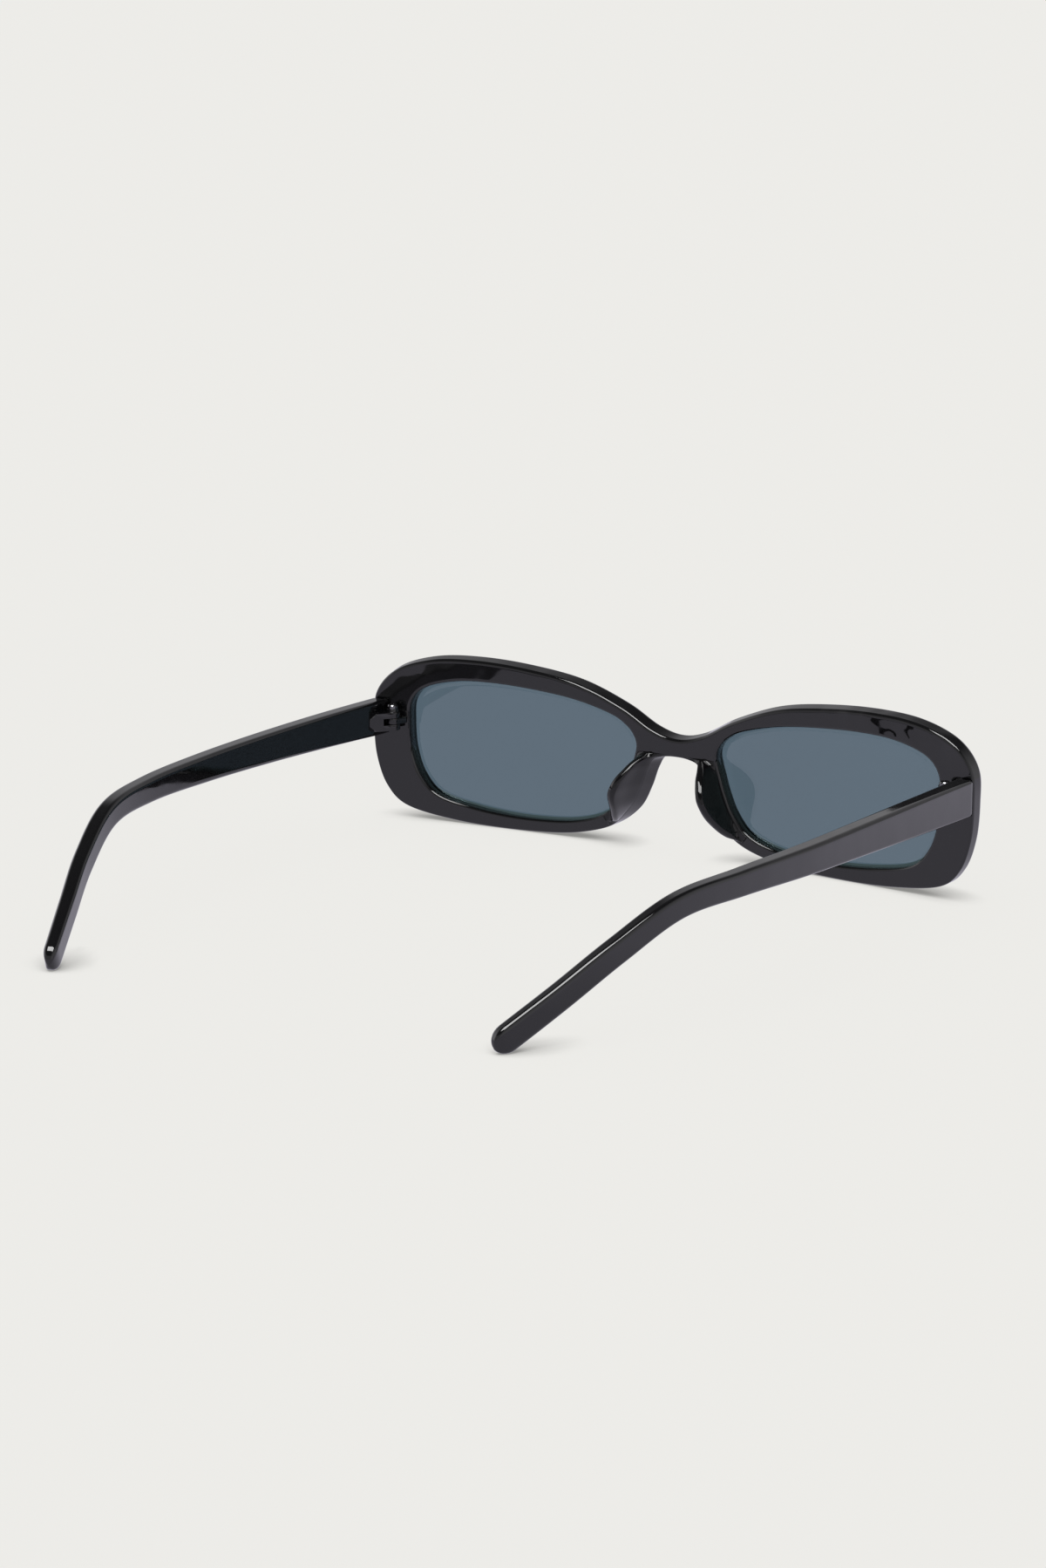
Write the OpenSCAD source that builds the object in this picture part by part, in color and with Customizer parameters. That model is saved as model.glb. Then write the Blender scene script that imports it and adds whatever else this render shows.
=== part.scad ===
// Square sunglasses: a moulded front with two lenses and two bonded nose pads, and two
// temples that fold on screwed barrel hinges.
// The front stands on its lower rims and on the tips of the temples, at z = 0. The wearer
// looks along -Y, and the temples run back along +Y.

/* [Lenses] */
// Width of each lens opening
lens_w = 53; // [48:0.5:58]
// Height of each lens opening
lens_h = 27.8; // [24:0.2:34]
// Distance between the two lens openings, over the nose
lens_gap = 19; // [16:0.5:23]
// Thickness of a lens
lens_t = 1.2; // [1:0.1:1.3]
// Depth of the lens behind the rear edge of its opening
lens_back = 1.8; // [1.5:0.1:1.9]
// Depth of the groove that holds the lens's bevelled edge
groove_d = 0.8; // [0.5:0.1:1.2]
// Play between a lens and its groove
lens_fit = 0.05; // [0.02:0.01:0.1]

/* [Front] */
// Thickness of the front at the bridge
front_t = 4.4; // [4:0.1:5]
// Thickness of the front at its ends
end_t = 3.8; // [3.3:0.1:4.4]
// Radius of the curve of the whole front, seen from above
face_radius = 455; // [300:5:900]
// Width of the rim beside a lens, at the temple
rim_side = 8.3; // [7.5:0.1:11]
// Height of the rim over a lens
rim_top = 4.8; // [3.6:0.1:6]
// Height of the rim under a lens
rim_bottom = 2.7; // [2.2:0.1:4.5]
// Width of the rim beside the nose
rim_nose = 4.4; // [3.6:0.1:5]
// Height of the bridge's lower edge above the lowest rim
bridge_z = 19.8; // [18.6:0.1:21]
// Height of the bridge
bridge_h = 4.1; // [3.2:0.1:5]
// Rounding of the brow's edge on the wearer's side
brow_edge_r = 1.4; // [0.8:0.1:1.6]
// Rounding of the lower edge on the wearer's side
low_edge_r = 0.4; // [0.3:0.05:0.8]
// Rounding of the outer edge on the show side
show_edge_r = 1.4; // [0.8:0.1:1.6]
// Width of the splay beside the nose, from the show side back to the pads
nose_splay_w = 0.8; // [0.4:0.1:1]
// Chamfer of the lens opening's edges
opening_chamfer = 0.5; // [0.3:0.05:0.7]

/* [Nose pads] */
// How far a nose pad stands out behind the rim
pad_h = 7.9; // [4:0.1:9]
// Radius of a pad's crest
pad_crest_r = 0.8; // [0.6:0.05:1]

/* [Temples] */
// Reach of a temple from its butt end back to its rounded tip
temple_reach = 133.4; // [122:0.2:146]
// Thickness of a temple, from its butt end to the bend
temple_t = 3.6; // [3.2:0.1:4]
// Thickness of a temple at its tail
tail_t = 2.7; // [2.4:0.1:3.6]
// Height of a temple at its butt end
butt_h = 7.4; // [6.4:0.1:8.4]
// Height of a temple where it bends over the ear
bend_h = 4.6; // [4:0.1:5.6]
// Height of a temple's tail
tail_h = 5.1; // [4:0.1:5.6]
// Height of the butt end's middle above the lowest rim
butt_z = 21.4; // [20.6:0.1:22.4]
// Drop of the tail's tip, from the butt end's middle
tail_drop = 18.7; // [18:0.1:20]
// Inward curve of the tail's tip
tail_inset = 18.6; // [10:0.2:22]
// Step from the front's outline in to a temple's outer face
temple_step = 0.2; // [0.1:0.1:1]
// Gap between a temple's butt end and the front
butt_gap = 0.15; // [0.1:0.05:0.3]
// Length of the rounded tip
tip_len = 3.2; // [2:0.1:3.8]
// Rounding of a temple's long edges at its butt end
edge_butt_r = 0.7; // [0.4:0.1:1.2]
// Rounding of a temple's long edges at its tail
edge_tail_r = 0.9; // [0.6:0.1:1.1]

/* [Hinges] */
// Height of a hinge
hinge_h = 3.8; // [3.6:0.1:4.4]
// Height of a hinge's middle above the butt end's middle
hinge_rise = -0.4; // [-0.8:0.1:0.4]
// Distance of the screw from the temple's inner face
hinge_in = 2; // [1.9:0.1:2.4]
// Distance of the screw from the front's rear face
hinge_back = 2.05; // [2:0.05:2.4]
// Radius of the hinge's barrels
barrel_r = 1.6; // [1.4:0.05:1.7]
// Thickness of the front's tongue
tongue_t = 1.3; // [1:0.1:1.6]
// Play on each side of the tongue
tongue_fit = 0.05; // [0.03:0.01:0.1]
// Height of the collar under the screw's head
collar_h = 0.7; // [0.4:0.1:0.8]
// Depth of the hinge's foot in the front and in the temple
foot_d = 1.2; // [0.8:0.1:1.4]
// Half the width of the foot in the front
foot_half = 2.4; // [2:0.1:2.8]
// How far the foot stands out of the front's rear face
foot_proud = 0.15; // [0.1:0.05:0.2]
// Length of the temple's foot ahead of the screw
foot_ahead = 0.6; // [0.4:0.1:0.8]
// Length of the sloping lug along the temple, behind the screw
lug_len = 5.4; // [4.6:0.2:7]
// Corner cut off the lug's far end
lug_chamfer = 1.2; // [0.8:0.1:1.5]
// Widening of the tongue at its root
tongue_flare = 0.6; // [0.2:0.1:1]
// Distance behind the screw of the slot's end
slot_back = 2.9; // [2.8:0.1:3.4]
// Play between the tongue's barrel and the slot's side
slot_play = 0.15; // [0.1:0.05:0.25]
// Radius of the screw's shank
screw_r = 0.7; // [0.5:0.05:0.8]
// Play between the screw's shank and the tongue
screw_fit = 0.03; // [0.02:0.01:0.06]
// Play between the screw's thread and its hole
thread_fit = 0.01; // [0.01:0.01:0.02]
// Radius of the screw's head
head_r = 1.15; // [1:0.05:1.3]
// Step from the screw's head out to its collar
collar_step = 0.15; // [0.05:0.05:0.3]
// Width of the screw head's cross slot
slot_w = 0.3; // [0.2:0.05:0.4]
// Height of the screw's head
head_h = 0.9; // [0.6:0.1:1]

/* [Hidden] */
$fn = 48;

front_w = lens_gap + 2 * lens_w + 2 * rim_side;
front_h = lens_h + rim_top + rim_bottom;

// Steps of the curve between two points of an outline
RIM_STEPS = 4;
// Steps of the curve between two points of a temple's line
TEMPLE_STEPS = 6;

// Distance back of the front's rear face at a distance x from the middle
function rear_y(x) = face_radius - sqrt(face_radius * face_radius - x * x);

// Point and direction of a smooth curve through b and c, between its neighbours a and d
function curve_point(a, b, c, d, t) =
    0.5 * (2 * b + (c - a) * t + (2 * a - 5 * b + 4 * c - d) * t * t
        + (3 * b - a - 3 * c + d) * t * t * t);
function curve_slope(a, b, c, d, t) =
    0.5 * ((c - a) + 2 * (2 * a - 5 * b + 4 * c - d) * t
        + 3 * (3 * b - a - 3 * c + d) * t * t);
function unit(v) = v / norm(v);

// Outer outline of one half, from the top of the bridge over the brow and round to the
// nose. The middle points are in percent of half the width and of the height.
RIM_SHAPE = [[8.2, 71.5], [18.5, 82.4], [33.5, 93.2], [50.6, 98.3], [66.9, 100], [81.1, 98],
    [92.9, 90.1], [99.3, 75.8], [100, 56.7], [99, 35.7], [95.5, 17.8], [88.7, 6.8],
    [73.2, 1.4], [56.3, 0], [39.4, 1.4], [28.2, 5.4]];
// Nose side: percent of the lens's width beyond the rim beside the nose, and percent of
// the height
NOSE_SHAPE = [[17.5, 11.5], [8.9, 22.1], [4.3, 34.8]];
// Bridge's shoulder: percent of the lens's width, and drop in percent of the height
SHOULDER_SHAPE = [[1.3, 9.4], [-2.2, 1.8]];
function nose_x(p) = lens_gap / 2 + p / 100 * lens_w - rim_nose;
rim_line = concat(
    [[0, bridge_z + bridge_h]],
    [for (p = RIM_SHAPE) [p[0] / 200 * front_w, p[1] / 100 * front_h]],
    [for (p = NOSE_SHAPE) [nose_x(p[0]), p[1] / 100 * front_h]],
    [for (p = SHOULDER_SHAPE) [nose_x(p[0]), bridge_z - p[1] / 100 * front_h]],
    [[0, bridge_z]]);
LAST = len(rim_line) - 1;

// Lens opening, with one point for each point of the outer outline, in percent of the
// lens's width from the nose and of its height
LENS_SHAPE = [[1.1, 73], [4.3, 79.9], [11.3, 87.1], [27.4, 94.6], [46.2, 98.5], [64.2, 100],
    [79.5, 98.5], [93, 91.7], [99.1, 80.2], [100, 64], [99.1, 42.8], [95.5, 24.1],
    [87.7, 10.1], [71.7, 3.2], [52.8, 0.2], [34, 1.3], [21.3, 5.8], [13, 13.3], [7.4, 25.5],
    [4, 39.2], [1.9, 51.4], [0.6, 59.4], [0, 66.5]];
lens_line = [for (p = LENS_SHAPE)
    [lens_gap / 2 + p[0] / 100 * lens_w, rim_bottom + p[1] / 100 * lens_h]];

// Rings of the rim: steps of each span, then the two that close it across the bridge. LAST
// is the number of the outline's last point, which lies under the middle of the bridge.
RINGS = [for (i = [0 : LAST - 1]) for (j = [0 : RIM_STEPS - 1]) i + j / RIM_STEPS,
    LAST, LAST + 0.5];
RING_COUNT = len(RINGS);
function mirrored(p) = [-p[0], p[1]];
function rim_at(i) = i < 0 ? mirrored(rim_line[1]) : i > LAST ? mirrored(rim_line[LAST - 1])
    : rim_line[i];
function lens_at(i) = lens_line[(i + LAST + 1) % (LAST + 1)];

// Outer point and its inward normal. Across the bridge the outline is the middle plane.
function outer_point(u) =
    let (i = floor(u), t = u - i)
    u > LAST ? [0, bridge_z + (u - LAST) * bridge_h]
    : curve_point(rim_at(i - 1), rim_at(i), rim_at(i + 1), rim_at(i + 2), t);
function outer_normal(u) =
    let (i = floor(u), t = u - i)
    let (s = unit(curve_slope(rim_at(i - 1), rim_at(i), rim_at(i + 1), rim_at(i + 2), t)))
    u > LAST ? [0, 0] : [s[1], -s[0]];
// Point on the lens opening and its normal, which points into the rim
function lens_point(u) =
    let (i = floor(u), t = u - i)
    curve_point(lens_at(i - 1), lens_at(i), lens_at(i + 1), lens_at(i + 2), t);
function lens_normal(u) =
    let (i = floor(u), t = u - i)
    let (s = unit(curve_slope(lens_at(i - 1), lens_at(i), lens_at(i + 1), lens_at(i + 2), t)))
    [-s[1], s[0]];

// A point of the outline, p, set in by a distance along its normal and forward of the
// curved rear face by a depth
function on_face(p, n, inset, depth) =
    let (q = p + n * inset)
    [q[0], rear_y(q[0]) - depth, q[1]];
// The same point at a distance behind the show face. The front thins toward its ends.
function front_depth(x) = front_t - (front_t - end_t) * pow(2 * x / front_w, 2);
function on_show(p, n, inset, behind) =
    on_face(p, n, inset, front_depth((p + n * inset)[0]) - behind);

// Rings between which the nose pad stands on the rim, and over how many the edge's rounding
// fades beside it
PAD_FIRST = 16.75;
PAD_LAST = 21.5;
PAD_FADE = 0.5;
// Rings at which the brow's large rounding begins to fade and has faded
BROW_LAST = 7;
LOW_FIRST = 10;
// Rings over which the side of the nose is splayed, and over how many the splay grows
SPLAY_FIRST = 16.75;
SPLAY_LAST = 21.5;
SPLAY_FADE = 1.25;
EDGE_MIN = 0.05;
function ease(t) = let (c = max(0, min(1, t))) c * c * (3 - 2 * c);
function between(u, first, last, fade) = ease((u - first) / fade) * ease((last - u) / fade);
function plain_r(u) =
    brow_edge_r + (low_edge_r - brow_edge_r) * ease((u - BROW_LAST) / (LOW_FIRST - BROW_LAST));
function rear_r(u) =
    max(EDGE_MIN, plain_r(u) * (1 - between(u, PAD_FIRST, PAD_LAST, PAD_FADE)));
function rear_inset(u) = nose_splay_w * between(u, SPLAY_FIRST, SPLAY_LAST, SPLAY_FADE);

// Section of the rim, from the rear face round the lens groove to the show face and back
// round the outer edge
INNER_POINTS = 7;
RIGHT_ANGLE = 90;
EDGE_ANGLES = [for (k = [0 : 3]) RIGHT_ANGLE * k / 3];
groove_mid = lens_back + lens_t / 2;
function rim_section(u) =
    let (a = lens_point(u), na = lens_normal(u), b = outer_point(u), nb = outer_normal(u))
    let (r = rear_r(u), g = rear_inset(u), s = show_edge_r, c = opening_chamfer)
    [on_face(a, na, c, 0),
     on_face(a, na, 0, c),
     on_face(a, na, 0, lens_back),
     on_face(a, na, groove_d, groove_mid),
     on_face(a, na, 0, lens_back + lens_t),
     on_show(a, na, 0, c / 2),
     on_show(a, na, c / 2, 0),
     for (t = EDGE_ANGLES) on_show(b, nb, s * (1 - sin(t)), s * (1 - cos(t))),
     for (t = EDGE_ANGLES) on_face(b, nb, g + r * (1 - cos(t)), r * (1 - sin(t)))];
SECTION_COUNT = INNER_POINTS + 2 * len(EDGE_ANGLES);

// The two halves share the points of the bridge's section, which lie on the middle plane
function on_middle(i, j) = (i == 0 || i >= RING_COUNT - 2) && j >= INNER_POINTS;
function half_index(side, i, j) =
    let (k = (i % RING_COUNT) * SECTION_COUNT + j % SECTION_COUNT)
    side == 0 || on_middle(i % RING_COUNT, j % SECTION_COUNT)
        ? k : k + RING_COUNT * SECTION_COUNT;
function across_bridge(i, j) = i >= RING_COUNT - 2 && j >= INNER_POINTS && j < SECTION_COUNT - 1;
function quad(a, b, c, d) = [[a, c, b], [a, d, c]];

module rim_body() {
    half = [for (u = RINGS) each rim_section(u)];
    other = [for (p = half) [-p[0], p[1], p[2]]];
    faces = [for (side = [0, 1]) for (i = [0 : RING_COUNT - 1]) for (j = [0 : SECTION_COUNT - 1])
        if (!across_bridge(i, j))
            let (a = half_index(side, i, j), b = half_index(side, i + 1, j),
                c = half_index(side, i + 1, j + 1), d = half_index(side, i, j + 1))
            each side == 0 ? quad(a, b, c, d) : quad(d, c, b, a)];
    polyhedron(concat(half, other), faces);
}

// A lens: both faces follow the curve of the front, and the edge is bevelled to a ridge that
// lies in the groove
lens_middle = [lens_gap / 2 + lens_w / 2, rim_bottom + lens_h / 2];
LENS_RINGS = [1 / 3, 2 / 3];
module lens_body() {
    near = lens_back + lens_fit;
    far = lens_back + lens_t - lens_fit;
    inner = [for (k = LENS_RINGS) [for (u = RINGS)
        lens_middle + k * (lens_point(u) - lens_middle)]];
    points = [
        on_face(lens_middle, [0, 0], 0, near),
        for (ring = inner) for (p = ring) on_face(p, [0, 0], 0, near),
        for (u = RINGS) on_face(lens_point(u), lens_normal(u), -lens_fit, near),
        for (u = RINGS) on_face(lens_point(u), lens_normal(u), groove_d - 2 * lens_fit, groove_mid),
        for (u = RINGS) on_face(lens_point(u), lens_normal(u), -lens_fit, far),
        for (k = [len(inner) - 1 : -1 : 0]) for (p = inner[k]) on_face(p, [0, 0], 0, far),
        on_face(lens_middle, [0, 0], 0, far)];
    rows = 3 + 2 * len(LENS_RINGS);
    shell_of(points, rows, RING_COUNT);
}

// Closed shell of rows of points, each a loop, with a point before the first row and one
// after the last
module shell_of(points, rows, count) {
    last = len(points) - 1;
    function at(r, i) = 1 + r * count + i % count;
    faces = [
        for (i = [0 : count - 1]) [0, at(0, i + 1), at(0, i)],
        for (r = [0 : rows - 2]) for (i = [0 : count - 1])
            each quad(at(r, i), at(r + 1, i), at(r + 1, i + 1), at(r, i + 1)),
        for (i = [0 : count - 1]) [last, at(rows - 1, i), at(rows - 1, i + 1)]];
    polyhedron(points, faces);
}

// Nose pad: a fin on the rear face beside the nose, one section for each ring of the rim.
// Its heights are in percent, at steps of half a ring from a place just before the first one.
PAD_HEIGHTS = [0, 8, 43, 72, 93, 100, 92, 74, 54, 33, 12, 0];
PAD_RINGS = [for (u = RINGS) if (u >= PAD_FIRST && u <= PAD_LAST) u];
HEIGHTS_PER_RING = 2;
HEIGHTS_LEAD = 0.5;
function pad_listed(i) = PAD_HEIGHTS[max(0, min(len(PAD_HEIGHTS) - 1, i))];
function pad_height(u) =
    let (s = (u - PAD_FIRST) * HEIGHTS_PER_RING + HEIGHTS_LEAD, i = floor(s))
    pad_h / 100 * curve_point(pad_listed(i - 1), pad_listed(i), pad_listed(i + 1),
        pad_listed(i + 2), s - i);
// Share of the way from the nose edge to the lens edge at which the crest runs: at the lower
// end, at the middle and at the top, and the rings where it starts to change
CREST_LOW = 0.3;
CREST_MIDDLE = 0.72;
CREST_HIGH = 0.6;
CREST_FIRST = 17.25;
CREST_RISE = 1.5;
CREST_SECOND = 19.25;
function crest_share(u) =
    CREST_LOW + (CREST_MIDDLE - CREST_LOW) * ease((u - CREST_FIRST) / CREST_RISE)
        + (CREST_HIGH - CREST_MIDDLE) * ease(u - CREST_SECOND);
// The crest is half of an eight-sided round. Each flank runs to it over a point that makes
// the flank hollow: shares of the flank's width and height.
CREST_MOST = 0.45;
NOSE_FLANK = [0.6, 0.5];
LENS_FLANK = [0.65, 0.35];
PAD_POINTS = 9;
PAD_CREST = 4;
function pad_section(u) =
    let (p = on_face(outer_point(u), outer_normal(u), rear_inset(u) + rear_r(u), 0),
        q = on_face(lens_point(u), lens_normal(u), opening_chamfer, 0))
    let (w = norm(q - p), h = pad_height(u), r = min(pad_crest_r, CREST_MOST * h),
        c = crest_share(u) * w, k = r * cos(45))
    let (local = [[0, 0], [NOSE_FLANK[0] * (c - r), NOSE_FLANK[1] * (h - r)], [c - r, h - r],
        [c - k, h - r + k], [c, h], [c + k, h - r + k], [c + r, h - r],
        [w - LENS_FLANK[0] * (w - c - r), LENS_FLANK[1] * (h - r)], [w, 0]])
    [for (s = local) p + (q - p) * (s[0] / w) + [0, s[1], 0]];
module pad_body() {
    sections = [for (u = PAD_RINGS) pad_section(u)];
    last = len(sections) - 1;
    function middle(s) = (s[0] + s[PAD_CREST] + s[PAD_POINTS - 1]) / 3;
    shell_of(concat([middle(sections[0])], [for (s = sections) each s],
        [middle(sections[last])]), last + 1, PAD_POINTS);
}

// Line of a temple's middle, in percent of its reach, inward curve and drop
TEMPLE_SHAPE = [[0, 0, 0], [15.5, -2, 2.3], [31.1, -2.3, 3.6], [46.7, 0.5, 3.8],
    [61.9, 10.2, 3.1], [74.2, 27.7, -3.7], [84.2, 51.1, -34.9], [92.4, 76, -69.1],
    [100, 100, -100]];
// Height at the points up to the bend, in percent from the bend's height to the butt's
TEMPLE_TAPER = [100, 81, 57, 33, 10, 0];
// Point at which the thickness begins to fall towards the tail's
THIN_FIRST = 3;
butt_x = front_w / 2 - temple_step - temple_t / 2;
butt_y = rear_y(butt_x) + butt_gap;
temple_line = [for (p = TEMPLE_SHAPE) [butt_x - p[1] / 100 * tail_inset,
    butt_y + p[0] / 100 * temple_reach, butt_z + p[2] / 100 * tail_drop]];
TEMPLE_LAST = len(temple_line) - 1;
BEND = len(TEMPLE_TAPER) - 1;
function temple_at(i) =
    i < 0 ? 2 * temple_line[0] - temple_line[1]
    : i > TEMPLE_LAST ? 2 * temple_line[TEMPLE_LAST] - temple_line[TEMPLE_LAST - 1]
    : temple_line[i];
function listed_h(i) =
    let (k = max(0, min(TEMPLE_LAST, i)))
    k <= BEND ? bend_h + TEMPLE_TAPER[k] / 100 * (butt_h - bend_h)
    : bend_h + (k - BEND) / (TEMPLE_LAST - BEND) * (tail_h - bend_h);
function temple_thick(u) =
    temple_t + (tail_t - temple_t) * max(0, u - THIN_FIRST) / (TEMPLE_LAST - THIN_FIRST);
function on_line(f, u) =
    let (i = min(floor(u), TEMPLE_LAST - 1))
    [f(i - 1), f(i), f(i + 1), f(i + 2), u - i];
function temple_point(u) =
    let (k = on_line(function(i) temple_at(i), u))
    curve_point(k[0], k[1], k[2], k[3], k[4]);
function temple_way(u) =
    let (k = on_line(function(i) temple_at(i), u))
    unit(curve_slope(k[0], k[1], k[2], k[3], k[4]));
function temple_h(u) =
    let (k = on_line(function(i) listed_h(i), u))
    curve_point(k[0], k[1], k[2], k[3], k[4]);

// Section of a temple: a rectangle with rounded corners, square to the line
CORNER_POINTS = 4;
function temple_section(u, shrink, ahead) =
    let (way = temple_way(u), out = unit(cross(way, [0, 0, 1])), up = cross(out, way))
    let (r = (edge_butt_r + (edge_tail_r - edge_butt_r) * u / TEMPLE_LAST) * shrink,
        a = temple_thick(u) / 2 * shrink - r, b = temple_h(u) / 2 * shrink - r,
        p = temple_point(u) + way * ahead)
    [for (q = [0 : 3]) for (k = [0 : CORNER_POINTS - 1])
        let (t = RIGHT_ANGLE * (q + k / (CORNER_POINTS - 1)),
            sx = q == 0 || q == 3 ? 1 : -1, sy = q < 2 ? 1 : -1)
        p + out * (sx * a + r * cos(t)) + up * (sy * b + r * sin(t))];
function at_butt(p) = [p[0], rear_y(p[0]) + butt_gap, p[2]];
TIP_ANGLES = [22, 44, 64, 80];
function temple_tip(t) = temple_section(TEMPLE_LAST, cos(t), tip_len * sin(t));
module temple_body() {
    first = [for (p = temple_section(0, 1, 0)) at_butt(p)];
    along = [for (i = [1 : TEMPLE_LAST * TEMPLE_STEPS]) temple_section(i / TEMPLE_STEPS, 1, 0)];
    tip = [for (t = TIP_ANGLES) temple_tip(t)];
    rows = concat([first], along, tip);
    shell_of(concat([at_butt(temple_point(0))], [for (row = rows) each row],
        [temple_point(TEMPLE_LAST) + temple_way(TEMPLE_LAST) * tip_len]),
        len(rows), 4 * CORNER_POINTS);
}

// Hinge places, for the left side
inner_face_x = front_w / 2 - temple_step - temple_t;
hinge_x = inner_face_x - hinge_in;
hinge_y = rear_y(hinge_x) + hinge_back;
hinge_low = butt_z + hinge_rise - hinge_h / 2;
hinge_top = hinge_low + hinge_h;
tongue_low = hinge_low + (hinge_h - tongue_t) / 2;
face_slope = asin(hinge_x / face_radius);

module both(side) {
    mirror([side < 0 ? 1 : 0, 0, 0]) children();
}

// Foot of the front's hinge, let into the rim and turned with the curved face
module front_foot() {
    translate([hinge_x, rear_y(hinge_x), hinge_low])
        rotate([0, 0, face_slope])
            translate([-foot_half, -foot_d, 0])
                cube([2 * foot_half, foot_d + foot_proud, hinge_h]);
}

// Foot of the temple's hinge, let into the temple's inner face
module temple_foot() {
    translate([inner_face_x, hinge_y - foot_ahead, 0])
        intersection() {
            translate([0, 0, hinge_low])
                cube([foot_d, foot_ahead + lug_len, hinge_h]);
            lug_outline(foot_ahead);
        }
}

// Side view of the sloping lug, with its far end's corners cut off, from a distance ahead
// of the screw
module lug_outline(ahead) {
    back = ahead + lug_len;
    translate([-2 * hinge_in - barrel_r, 0, 0])
        rotate([90, 0, 90])
            linear_extrude(3 * hinge_in + barrel_r + foot_d)
                polygon([[0, hinge_low], [back - lug_chamfer, hinge_low],
                    [back, hinge_low + lug_chamfer], [back, hinge_top - lug_chamfer],
                    [back - lug_chamfer, hinge_top], [0, hinge_top]]);
}

module front() {
    color("#26252a")
        difference() {
            rim_body();
            for (side = [-1, 1])
                both(side) front_foot();
        }
}

module lens(side) {
    color("#5f6c78")
        both(side) lens_body();
}

module nose_pad(side) {
    color("#2e2d33")
        both(side) pad_body();
}

module temple(side) {
    color("#26252a")
        both(side)
            difference() {
                temple_body();
                temple_foot();
            }
}

module front_hinge(side) {
    color("#303036")
        both(side)
            difference() {
                union() {
                    front_foot();
                    translate([0, 0, tongue_low])
                        linear_extrude(tongue_t)
                            union() {
                                translate([hinge_x, hinge_y]) circle(barrel_r);
                                polygon([[hinge_x - barrel_r, hinge_y],
                                    [hinge_x - barrel_r - tongue_flare, rear_y(hinge_x)],
                                    [hinge_x + barrel_r, rear_y(hinge_x)],
                                    [hinge_x + barrel_r, hinge_y]]);
                            }
                }
                translate([hinge_x, hinge_y, hinge_low])
                    cylinder(h = hinge_h, r = screw_r + screw_fit);
            }
}

module temple_hinge(side) {
    reach = norm([hinge_in, lug_len]);
    touch = atan2(lug_len, hinge_in) + acos(barrel_r / reach);
    color("#303036")
        both(side)
            difference() {
                union() {
                    translate([0, hinge_y, 0])
                        intersection() {
                            translate([hinge_x, 0, hinge_low])
                                linear_extrude(hinge_h)
                                    union() {
                                        circle(barrel_r);
                                        polygon([[0, -barrel_r], [hinge_in, -barrel_r],
                                            [hinge_in, lug_len],
                                            [barrel_r * cos(touch), barrel_r * sin(touch)]]);
                                    }
                            translate([inner_face_x, -barrel_r, 0])
                                lug_outline(barrel_r);
                        }
                    temple_foot();
                    translate([hinge_x, hinge_y, hinge_top])
                        cylinder(h = collar_h, r = head_r + collar_step);
                }
                translate([hinge_x - lug_len, hinge_y - 2 * barrel_r, tongue_low - tongue_fit])
                    cube([lug_len + barrel_r + slot_play, 2 * barrel_r + slot_back,
                        tongue_t + 2 * tongue_fit]);
                translate([hinge_x, hinge_y, hinge_low])
                    cylinder(h = hinge_h + collar_h, r = screw_r + thread_fit);
            }
}

// Shoulder of a screw's round head, in shares of its radius and height
HEAD_RIM = 0.55;
HEAD_TOP = [0.8, 0.88];
// Cross slot: its length in head radii, and its turn when the screw is tight
SLOT_REACH = 1.5;
SLOT_TURN = 20;
module hinge_screw(side) {
    top = hinge_top + collar_h;
    color("#9a9a9e")
        both(side)
            translate([hinge_x, hinge_y, 0])
                difference() {
                    union() {
                        translate([0, 0, hinge_low]) cylinder(h = top - hinge_low, r = screw_r);
                        translate([0, 0, top])
                            rotate_extrude()
                                polygon([[0, 0], [head_r, 0], [head_r, HEAD_RIM * head_h],
                                    [HEAD_TOP[0] * head_r, HEAD_TOP[1] * head_h], [0, head_h]]);
                    }
                    for (turn = [0, RIGHT_ANGLE])
                        translate([0, 0, top + head_h])
                            rotate([0, 0, turn + SLOT_TURN])
                                cube([SLOT_REACH * head_r, slot_w, head_h], center = true);
                }
}

// The whole pair is centred from front to back
tail_end = max([for (t = TIP_ANGLES) for (p = temple_tip(t)) p[1]]);
mid_y = (tail_end - front_t) / 2;
module placed() {
    translate([0, -mid_y, 0]) children();
}

placed() front();
placed() lens(1);  // lens_left
placed() lens(-1);  // lens_right
placed() nose_pad(1);  // nose_pad_left
placed() nose_pad(-1);  // nose_pad_right
placed() front_hinge(1);  // front_hinge_left
placed() front_hinge(-1);  // front_hinge_right
placed() temple_hinge(1);  // temple_hinge_left
placed() temple_hinge(-1);  // temple_hinge_right
placed() hinge_screw(1);  // hinge_screw_left
placed() hinge_screw(-1);  // hinge_screw_right
placed() temple(1);  // temple_left
placed() temple(-1);  // temple_right
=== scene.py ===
"""Square sunglasses with folding temples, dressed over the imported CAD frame.

The object's sizes are in millimetres, in the CAD's own lengthwise place, and every mesh is
put in metres and shifted to the frame when it is made. The finishes and the studio are in
metres. The wearer looks along -Y, +X is the wearer's left, and z = 0 is the floor.
"""

import logging
from dataclasses import dataclass
from enum import Enum
from typing import Any

import bmesh
import bpy
import numpy as np
from mathutils import Matrix, Vector


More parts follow.
